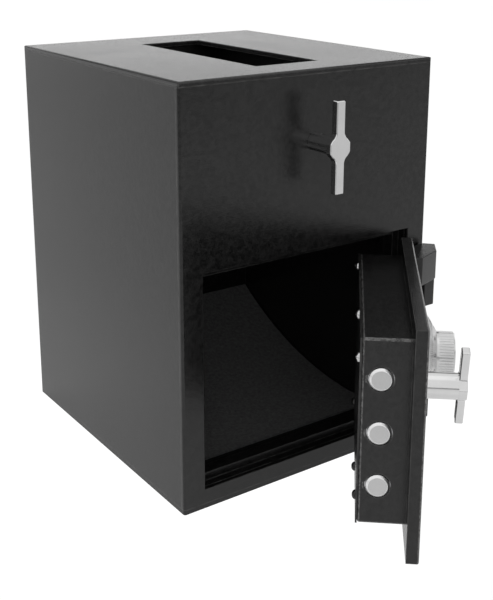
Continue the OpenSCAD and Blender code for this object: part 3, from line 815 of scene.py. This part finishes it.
@dataclass
class Hopper:
    """Turning drum under the slot, with its chute and T handle."""

    chute: tuple[str, ...] = (
        "chute_front_plate", "chute_rear_plate", "chute_left_guard", "chute_right_guard",
    )
    drum: tuple[str, ...] = ("drum_shell", "drum_front_end", "drum_rear_end")
    shafts: tuple[str, ...] = ("hopper_spindle", "drum_rear_journal", "journal_clip")
    handle_edge: float = 1.4 * MM
    bar_back: float = -236.9 * MM

    def on_bar(self, edge: Edge) -> bool:
        """Tells whether an edge of the handle borders its bar."""
        return max(v.co.y for v in edge.verts) < self.bar_back

    def build(self, kit: Finishes) -> None:
        """Dresses the hopper's nodes and rounds its handle."""
        # The chute and drum take that darker powder: painted shade inside the slot.
        dress(self.chute + self.drum + ("hopper_handle_pin",), kit.chute)
        dress(self.shafts, kit.steel)
        dress(("hopper_handle",), kit.handles)
        bm = eased_copy("hopper_handle", self.handle_edge, segments=3, pick=self.on_bar)
        stand_for("hopper_handle", bm, Body.HOPPER, kit.handles)


@dataclass
class Door:
    """Plate door with its moving hinge leaves and the box for the bolts."""

    leaves: tuple[str, ...] = ("lower_door_hinge_leaf", "upper_door_hinge_leaf")
    plate_edge: float = 2.0 * MM
    leaf_edge: float = 1.0 * MM
    box_edge: float = 2.6 * MM
    cover_edge: float = 0.35 * MM
    plate_half: float = 152 * MM
    plate_face: float = -197.1 * MM
    plate_low: float = 27.5 * MM
    plate_top: float = 286 * MM
    box_low: float = 60 * MM
    box_top: float = 268 * MM
    box_left: float = -132.9 * MM
    box_right: float = 136.9 * MM
    box_foot: float = -183.3 * MM
    box_back: float = -140 * MM

    def on_rim(self, edge: Edge) -> bool:
        """Tells whether an edge of the plate borders its outer face."""
        shut = [SHUT @ v.co for v in edge.verts]
        ends = (self.plate_low, self.plate_top)
        at_side = all(abs(abs(p.x) - self.plate_half) < NEAR for p in shut)
        at_end = all(min(abs(p.z - end) for end in ends) < NEAR for p in shut)
        outer = all(p.y < self.plate_face + NEAR for p in shut)
        return outer and (at_side or at_end)

    def on_box(self, edge: Edge) -> bool:
        """Tells whether an edge of the bolt box is a bend of its sheet."""
        shut = [SHUT @ v.co for v in edge.verts]
        ends = (self.box_low, self.box_top)
        at_end = all(min(abs(p.z - end) for end in ends) < NEAR for p in shut)
        off_plate = max(abs(p.y - self.box_foot) for p in shut) > 0.001
        at_side = all(p.x < self.box_left or p.x > self.box_right for p in shut)
        at_back = all(p.y > self.box_back for p in shut)
        return (at_end and off_plate) or (at_side and at_back)

    def build(self, kit: Finishes) -> None:
        """Dresses the door's nodes and breaks the edges of its plate and box, whose new faces get a
        far lighter powder as a painted highlight.
        """
        dress(("door_plate",) + self.leaves, kit.shell)
        dress(("bolt_box", "bolt_box_cover", "dead_bar"), kit.inner)
        dress(("bolt_guide", "lock_screws"), kit.steel)
        dress(("handle_bush", "lock_case", "lock_case_cover"), kit.brass)
        # The broken edges of plate and box take slot 1, a far lighter powder: a painted highlight
        # along the rims and bends, also standing for worn paint.
        bm = eased_copy("door_plate", self.plate_edge, segments=4, pick=self.on_rim, edge_slot=1)
        plate = stand_for("door_plate", bm, Body.DOOR, kit.shell)
        bm = eased_copy("bolt_box", self.box_edge, segments=3, pick=self.on_box, edge_slot=1)
        box = stand_for("bolt_box", bm, Body.DOOR, kit.inner)
        for piece in (plate, box):
            piece.data.materials.append(kit.rubbed)
        for leaf in self.leaves:
            bm = eased_copy(leaf, self.leaf_edge)
            stand_for(leaf, bm, Body.DOOR, kit.shell)
        ease(("bolt_box_cover", "dead_bar"), self.cover_edge)


@dataclass
class CoverScrews:
    """Six domed screws that hold the cover, each with a cross recess.

    The lower three wear black powder, a painted shade.
    """

    head_r: float = 5.0
    head_h: float = 4.0
    rim_h: float = 0.5
    shank_r: float = 2.5
    shank_l: float = 2.0
    recess: Point = (5.2 * MM, 1.1 * MM, 2.4 * MM)
    recess_z: float = 3.9 * MM
    boss: Point = (0.4 * MM, 1.5 * MM, 2.8 * MM)
    boss_z: float = 3.4 * MM
    stop_turn: float = math.radians(37.0)
    back_y: float = -130.3
    middle_z: float = 164.0 * MM
    spots: tuple[tuple[float, float], ...] = (
        (-121.07, 86.0), (-121.07, 242.0), (-38.55, 72.0), (-38.55, 256.0), (125.0, 72.0),
        (125.0, 256.0),
    )

    def blank(self) -> Shape:
        """The screw before its recess is cut, its dome towards +Z."""
        rise = self.head_h - self.rim_h
        arc = [math.radians(a) for a in range(0, 90, 10)]
        dome = [(self.head_r * math.cos(a), self.rim_h + rise * math.sin(a)) for a in arc]
        foot = [(0, -self.shank_l), (self.shank_r, -self.shank_l)]
        seat = [(self.shank_r, 0), (self.head_r, 0)]
        return turned(foot + seat + dome + [(0, self.head_h)], steps=40)

    def head(self) -> Shape:
        """One screw, cut with the cross recess."""
        cutter = bmesh.new()
        for angle in (0.0, math.pi / 2):
            spin = Matrix.Rotation(angle, 4, "Z")
            place = Matrix.Translation((0, 0, self.recess_z)) @ spin
            slot = place @ Matrix.Diagonal((*self.recess, 1))
            bmesh.ops.create_cube(cutter, size=1.0, matrix=slot)
        tip_r, top_r, height = self.boss
        bmesh.ops.create_cone(
            cutter, cap_ends=True, segments=8, radius1=tip_r, radius2=top_r, depth=height,
            matrix=Matrix.Translation((0, 0, self.boss_z)),
        )
        return cut_from(self.blank(), cutter)

    def build(self, kit: Finishes) -> Object:
        """Puts the screws round the cover, each turned to its own stop."""
        places = []
        for i, (x, z) in enumerate(self.spots):
            spin = Matrix.Rotation(i * self.stop_turn, 4, "Z")
            spot = Matrix.Translation((x * MM, self.back_y * MM, z * MM))
            places.append(HUNG @ spot @ Matrix.Rotation(-OUTWARD, 4, "X") @ spin)
        bm = bmesh.new()
        add_copies(bm, self.head(), places)
        # Heads below the middle take the black powder of slot 1: painted shade on the lower row.
        for f in bm.faces:
            f.material_index = 1 if f.calc_center_median().z < self.middle_z else 0
        piece = finish_piece(bm, "cover_screw_heads", Body.DOOR, kit.zinc, smooth=30.0)
        piece.data.materials.append(kit.inner)
        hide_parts("cover_screws")
        return piece


@dataclass
class DialLock:
    """Combination dial: ring, graduated cone, fluted knob and the lock inside."""

    axis_x: float = 92.0
    axis_z: float = 158.0
    ring_y: float = -212.6
    ring_r: float = 49.0
    rim_y: float = -215.6
    rim_r: float = 46.0
    knob_r: float = 28.0
    cone_h: float = 11.0
    ring_edge: float = 0.6 * MM
    cone_edge: float = 0.4 * MM
    knob_edge: float = 0.35 * MM
    mark_gap: float = 0.5
    mark_lengths: Point = (9.6, 9.0, 8.2)
    mark_widths: tuple[float, float] = (0.55, 0.38)
    mark_h: float = 0.16 * MM
    numeral_size: float = 5.0 * MM
    numeral_h: float = 0.08 * MM
    numeral_r: float = 32.9
    index_r: float = 1.25 * MM

    def face(self) -> Point:
        """The middle of the dial's rim, door ajar."""
        return tuple(HUNG @ Vector((self.axis_x * MM, self.rim_y * MM, self.axis_z * MM)))

    def on_cone(self, turn: float, radius: float) -> Matrix:
        """A place on the cone.

        Args:
            turn: Angle round the dial from the top, clockwise from outside, in radians.
            radius: Distance from the dial's axis, in millimetres.

        Returns:
            A matrix with X along the rim, Y up the slope towards the rim and Z off the surface.
        """
        slope = math.atan2(self.cone_h, self.rim_r - self.knob_r)
        rise = (self.rim_r - radius) * math.tan(slope)
        middle = (self.axis_x * MM, (self.rim_y - rise) * MM, self.axis_z * MM)
        face = Matrix.Rotation(OUTWARD, 4, "X") @ Matrix.Rotation(-turn, 4, "Z")
        lean = Matrix.Translation((0, radius * MM, 0)) @ Matrix.Rotation(-slope, 4, "X")
        return HUNG @ Matrix.Translation(middle) @ face @ lean

    def graduations(self, paint: Material) -> Object:
        """A hundred marks, longer at each five and ten."""
        bm = bmesh.new()
        for i in range(100):
            rank = 0 if i % 10 == 0 else 1 if i % 5 == 0 else 2
            length, width = self.mark_lengths[rank], self.mark_widths[min(rank, 1)]
            middle = self.rim_r - self.mark_gap - length / 2
            size = Matrix.Diagonal((width * MM, length * MM, self.mark_h, 1))
            place = self.on_cone(math.tau * i / 100, middle)
            bmesh.ops.create_cube(bm, size=1.0, matrix=place @ size)
        return finish_piece(bm, "dial_graduations", Body.DIAL, paint)

    def numeral(self, number: int) -> bpy.types.Mesh:
        """One raised number, flat on XY with its middle at the origin."""
        words = bpy.data.curves.new("numeral", "FONT")
        words.body = str(number)
        words.size = self.numeral_size
        words.extrude = self.numeral_h
        words.align_x, words.align_y = "CENTER", "CENTER"
        words.resolution_u = 4
        thing = put("numeral", words)
        graph = bpy.context.evaluated_depsgraph_get()
        mesh = bpy.data.meshes.new_from_object(thing.evaluated_get(graph))
        bpy.data.objects.remove(thing)
        bpy.data.curves.remove(words)
        return mesh

    def numerals(self, paint: Material) -> Object:
        """Plain numbers from 0 to 90 round the cone."""
        bm = bmesh.new()
        for number in range(0, 100, 10):
            mesh = self.numeral(number)
            add_mesh(bm, mesh, self.on_cone(math.tau * number / 100, self.numeral_r))
            bpy.data.meshes.remove(mesh)
        bmesh.ops.remove_doubles(bm, verts=bm.verts[:], dist=STITCH)
        return finish_piece(bm, "dial_numerals", Body.DIAL, paint)

    def index(self, paint: Material) -> Object:
        """The mark on the fixed ring that the dial is read against."""
        bm = bmesh.new()
        height = self.axis_z + (self.rim_r + self.ring_r) / 2
        spot = Matrix.Translation((self.axis_x * MM, self.ring_y * MM, height * MM))
        place = HUNG @ spot @ Matrix.Rotation(OUTWARD, 4, "X")
        bmesh.ops.create_cone(
            bm, cap_ends=True, segments=3, radius1=self.index_r, radius2=self.index_r,
            depth=self.mark_h, matrix=place @ Matrix.Rotation(math.pi, 4, "Z"),
        )
        return finish_piece(bm, "dial_ring_index", Body.DOOR, paint)

    def build(self, kit: Finishes) -> None:
        """Dresses the lock's nodes and marks the dial."""
        dress(("dial_ring", "combination_dial"), kit.dial)
        dress(("dial_knob",), kit.knob)
        dress(("dial_spindle",), kit.steel)
        dress(("drive_cam", "combination_wheels", "lock_bolt"), kit.brass)
        dress(("dial_ring_screws",), kit.zinc)
        ring = eased_copy("dial_ring", self.ring_edge)
        stand_for("dial_ring", ring, Body.DOOR, kit.dial)
        cone = eased_copy("combination_dial", self.cone_edge)
        stand_for("combination_dial", cone, Body.DIAL, kit.dial)
        ease(("dial_knob",), self.knob_edge)
        self.graduations(kit.paint)
        self.numerals(kit.paint)
        self.index(kit.paint)


@dataclass
class BoltWork:
    """Live bolts, their bar, and the handle and crank that throw them."""

    hidden: tuple[str, ...] = (
        "door_handle_spindle", "handle_crank", "crank_pin", "bolt_bar", "bolt_screws",
    )
    handle_edge: float = 1.4 * MM
    bar_back: float = -244.8 * MM
    handle_z: float = 158 * MM
    back_band: float = 0.4 * MM
    step_r: float = 17.6 * MM
    bolt_edge: float = 0.4 * MM
    tip: float = -135.6
    axis_y: float = -152.5
    heights: tuple[float, ...] = (104.4, 164.0, 223.6)
    faced: float = 0.98
    chamfered: float = 0.3

    def on_bar(self, edge: Edge) -> bool:
        """Tells whether an edge of the handle borders its bar, away from the step at the shank."""
        shut = [SHUT @ v.co for v in edge.verts]
        outer = all(p.y < self.bar_back for p in shut)
        at_back = all(p.y > self.bar_back - self.back_band for p in shut)
        by_shank = all(math.hypot(p.x, p.z - self.handle_z) < self.step_r for p in shut)
        return outer and not (at_back and by_shank)

    def live_bolts(self, kit: Finishes) -> Object:
        """Bolts with faced ends, ground sides and a polished chamfer."""
        bm = eased_copy("live_bolts", self.bolt_edge)
        axis = HUNG.to_3x3() @ Vector((-1, 0, 0))
        for f in bm.faces:
            along = f.normal.dot(axis)
            height = f.calc_center_median().z / MM
            nearest = min(range(3), key=lambda i: abs(self.heights[i] - height))
            edge = 1 if along > self.chamfered else 0
            f.material_index = 2 + nearest if along > self.faced else edge
        piece = stand_for("live_bolts", bm, Body.BOLT_WORK, kit.nickel)
        piece.data.materials.append(kit.rim)
        turn = (0.0, OUTWARD, AJAR)
        for z in self.heights:
            centre = tuple(HUNG @ Vector((self.tip * MM, self.axis_y * MM, z * MM)))
            name = f"Faced bolt end {z:.0f}"
            face = Faced(name, centre, turn, tone=0.65, roughness=0.33, relief=0.00007)
            piece.data.materials.append(face.build())
        return piece

    def build(self, kit: Finishes) -> None:
        """Dresses the bolt work and rounds its handle."""
        dress(self.hidden, kit.steel)
        dress(("door_handle",), kit.handles)
        dress(("live_bolts",), kit.nickel)
        bm = eased_copy("door_handle", self.handle_edge, segments=3, pick=self.on_bar)
        stand_for("door_handle", bm, Body.HANDLE, kit.handles)
        self.live_bolts(kit)


def make_finishes() -> Finishes:
    """Builds every finish once."""
    face, turn = DialLock().face(), (OUTWARD, 0.0, AJAR)
    return Finishes(
        shell=PowderCoat("Satin black powder").build(),
        inner=PowderCoat("Inner black powder", roughness=0.25, grain=800.0).build(),
        # A darker, duller powder for the chute and drum: painted shade deep in the slot.
        chute=PowderCoat("Chute powder darkened as painted shade", tone=0.005, roughness=0.45, specular=0.2).build(),
        # Far lighter powder for broken edges: a painted highlight, also standing for worn paint.
        rubbed=PowderCoat("Rubbed powder with painted highlight", tone=0.075, roughness=0.20, specular=0.6).build(),
        handles=Polished("Handle chrome", tone=0.76).build(),
        dial=Faced("Dial chrome", face, turn, tone=0.74, roughness=0.18).build(),
        knob=Polished("Knob chrome", tone=0.67, roughness=0.16, film=0.06).build(),
        nickel=Machined("Bolt nickel", colour=(0.62, 0.62, 0.61), roughness=0.30).build(),
        rim=Polished("Polished chamfer", tone=0.95, roughness=0.30).build(),
        zinc=Polished("Bright zinc", tone=0.66, roughness=0.16, patch=120.0).build(),
        brass=Machined("Lock brass", colour=(0.62, 0.47, 0.22), roughness=0.30).build(),
        steel=Machined("Machined steel").build(),
        paint=FilledPaint("Dial paint").build(),
        felt=Felt("Grey felt", tone=0.085).build(),
    )


# ---------------- studio


@dataclass
class Softbox:
    """One soft rectangular lamp that neither the camera nor polish sees."""

    name: str
    place: Point
    target: Point
    size: tuple[float, float]
    radiance: float

    def build(self) -> Object:
        """Makes the lamp, aimed at its target."""
        lamp = bpy.data.lights.new(self.name, "AREA")
        lamp.shape = "RECTANGLE"
        lamp.size, lamp.size_y = self.size
        lamp.energy = self.radiance * math.pi * self.size[0] * self.size[1]
        thing = put(self.name, lamp)
        thing.location = self.place
        aim = Vector(self.target) - Vector(self.place)
        thing.rotation_euler = aim.to_track_quat("-Z", "Y").to_euler()
        thing.visible_camera = False
        thing.visible_glossy = False
        return thing


@dataclass
class Studio:
    """Pale floor, soft lamps, and a room that only polish and powder mirror."""

    floor_half: float = 6.0
    floor_drop: float = 0.4 * MM
    floor_tone: float = 0.86
    floor_glow: float = 1.04
    floor_seen: float = 0.48
    floor_mirrored: float = 0.45
    floor_near: Band = (0.3, 0.9, 1.15, 0.80)
    right: Point = (0.8, -0.6, 0.0)
    floor_right: Band = (0.7, 1.4, 1.0, 0.84)
    left: Point = (-0.65, -0.76, 0.0)
    floor_left: Band = (1.25, 1.40, 1.0, 0.12)
    back: Point = (0.6, 0.8, 0.0)
    back_share: Band = (0.0, 0.3, 0.0, 1.0)
    front_share: Band = (0.0, 0.3, 1.0, 0.0)
    back_low: Band = (0.12, 0.38, 1.18, 0.10)
    back_high: Band = (0.48, 0.62, 0.0, 0.75)
    front_wall: Band = (0.02, 0.08, 0.10, 0.85)
    zenith: Band = (0.90, 0.97, 0.0, 0.2)
    fill: Band = (0.12, 0.95, 0.85, 0.60)
    lamps: tuple[Softbox, ...] = (
        Softbox("back softbox", (1.3, 1.9, 1.35), (0.0, 0.0, 0.5), (2.4, 1.2), 1.15),
        Softbox("left softbox", (-1.9, 0.5, 1.3), (0.0, 0.0, 0.3), (1.4, 1.4), 0.9),
        Softbox("front softbox", (-1.1, -2.1, 0.9), (0.0, 0.0, 0.2), (1.4, 0.9), 1.7),
    )

    def seen(self, g: Graph, path: Outputs) -> Socket:
        """1 for rays from the camera, off polish or through glass, 0 for the rest."""
        first = g.math("MAXIMUM", path["Is Camera Ray"], path["Is Glossy Ray"])
        return g.math("MAXIMUM", first, path["Is Transmission Ray"])

    def surround(self) -> None:
        """World that is white to the camera, banded to polish, and that fills the shadows."""
        world = bpy.data.worlds.new("studio surround")
        world.use_nodes = True
        world.node_tree.nodes.clear()
        g = Graph(world.node_tree)
        path = g.add("ShaderNodeLightPath").outputs
        seen = self.seen(g, path)
        gaze = g.add("ShaderNodeTexCoord").outputs["Generated"]
        height = g.add("ShaderNodeSeparateXYZ", {0: gaze}).outputs[2]
        behind = g.along(gaze, self.back)
        wall = g.math("ADD", g.ramp(height, *self.back_low), g.ramp(height, *self.back_high))
        far = g.math("MULTIPLY", wall, g.ramp(behind, *self.back_share))
        face = g.ramp(height, *self.front_wall)
        near = g.math("MULTIPLY", face, g.ramp(behind, *self.front_share))
        mirrored = g.math("ADD", g.math("ADD", far, near), g.ramp(height, *self.zenith))
        unseen = g.ramp(seen, 0.0, 1.0, 1.0, 0.0)
        filled = g.math("MULTIPLY", g.ramp(height, *self.fill), unseen)
        glossy = g.math("MULTIPLY", mirrored, seen)
        level = g.math("MAXIMUM", g.math("ADD", filled, glossy), path["Is Camera Ray"])
        light = g.add("ShaderNodeBackground", {"Color": WHITE, "Strength": level})
        g.add("ShaderNodeOutputWorld", {"Surface": light.outputs[0]})
        bpy.context.scene.world = world

    def floor_paint(self) -> Material:
        """Pale paint that keeps a soft shadow, and that glows a little to the camera and polish."""
        material = bpy.data.materials.new("Pale studio floor")
        material.use_nodes = True
        material.node_tree.nodes.clear()
        g = Graph(material.node_tree)
        path = g.add("ShaderNodeLightPath").outputs
        seen = self.seen(g, path)
        paint = g.add("ShaderNodeBsdfDiffuse", {"Color": grey(self.floor_tone)})
        spot = g.add("ShaderNodeTexCoord").outputs["Object"]
        near = g.ramp(g.measure("LENGTH", spot)["Value"], *self.floor_near)
        side = g.math("MULTIPLY", near, g.ramp(g.along(spot, self.right), *self.floor_right))
        rim = g.ramp(g.along(spot, self.left), *self.floor_left)
        mirrored = g.math("MULTIPLY", side, rim)
        glare = g.math("MULTIPLY", path["Is Camera Ray"], self.floor_glow)
        level = g.math("MAXIMUM", mirrored, glare)
        glow = g.add("ShaderNodeEmission", {"Color": WHITE, "Strength": level})
        direct = g.math("MULTIPLY", path["Is Camera Ray"], self.floor_seen)
        share = g.math("ADD", direct, g.math("MULTIPLY", seen, self.floor_mirrored))
        feeds = {0: share, 1: paint.outputs[0], 2: glow.outputs[0]}
        both = g.add("ShaderNodeMixShader", feeds)
        g.add("ShaderNodeOutputMaterial", {"Surface": both.outputs[0]})
        return material

    def floor(self) -> Object:
        """Makes the floor, a hair under the safe."""
        bm = bmesh.new()
        bmesh.ops.create_grid(bm, x_segments=1, y_segments=1, size=self.floor_half)
        bmesh.ops.translate(bm, verts=bm.verts[:], vec=(0, 0, -self.floor_drop))
        mesh = bpy.data.meshes.new("studio_floor")
        bm.to_mesh(mesh)
        bm.free()
        thing = put("studio_floor", mesh)
        mesh.materials.append(self.floor_paint())
        return thing

    def build(self) -> None:
        """Makes the surround, the floor and the lamps."""
        self.surround()
        self.floor()
        for lamp in self.lamps:
            lamp.build()
            log.info("lamp %s", lamp.name)


@dataclass
class ViewCamera:
    """The viewing angle, for a picture of 493 by 600."""

    place: Point = (-0.7318, -1.1054, 0.6685)
    yaw: float = 0.6118
    pitch: float = 0.252
    roll: float = 0.0015
    focal_px: float = 1021.66
    tall_px: float = 600.0
    shift: float = -0.19
    sensor: float = 36.0

    def build(self) -> Object:
        """Makes the camera and gives it to the scene."""
        up = Vector((0, 0, 1))
        ahead = Vector((math.sin(self.yaw), math.cos(self.yaw), 0))
        right = Vector((math.cos(self.yaw), -math.sin(self.yaw), 0))
        gaze = ahead * math.cos(self.pitch) - up * math.sin(self.pitch)
        crown = up * math.cos(self.pitch) + ahead * math.sin(self.pitch)
        x = right * math.cos(self.roll) + crown * math.sin(self.roll)
        y = crown * math.cos(self.roll) - right * math.sin(self.roll)
        data = bpy.data.cameras.new("view camera")
        data.sensor_width = self.sensor
        data.lens = self.focal_px / self.tall_px * data.sensor_width
        data.shift_y = self.shift
        thing = put("view camera", data)
        turn = Matrix((x, y, -gaze)).transposed().to_4x4()
        thing.matrix_world = Matrix.Translation(self.place) @ turn
        bpy.context.scene.camera = thing
        return thing


def main() -> None:
    """Builds the camera, the studio, the finishes and each sub-assembly."""
    bpy.context.scene.view_settings.view_transform = "Standard"
    ViewCamera().build()
    Studio().build()
    kit = make_finishes()
    Cabinet().build(kit)
    CompartmentMat().build(kit)
    Hopper().build(kit)
    Door().build(kit)
    CoverScrews().build(kit)
    DialLock().build(kit)
    BoltWork().build(kit)


if __name__ == "__main__":
    main()
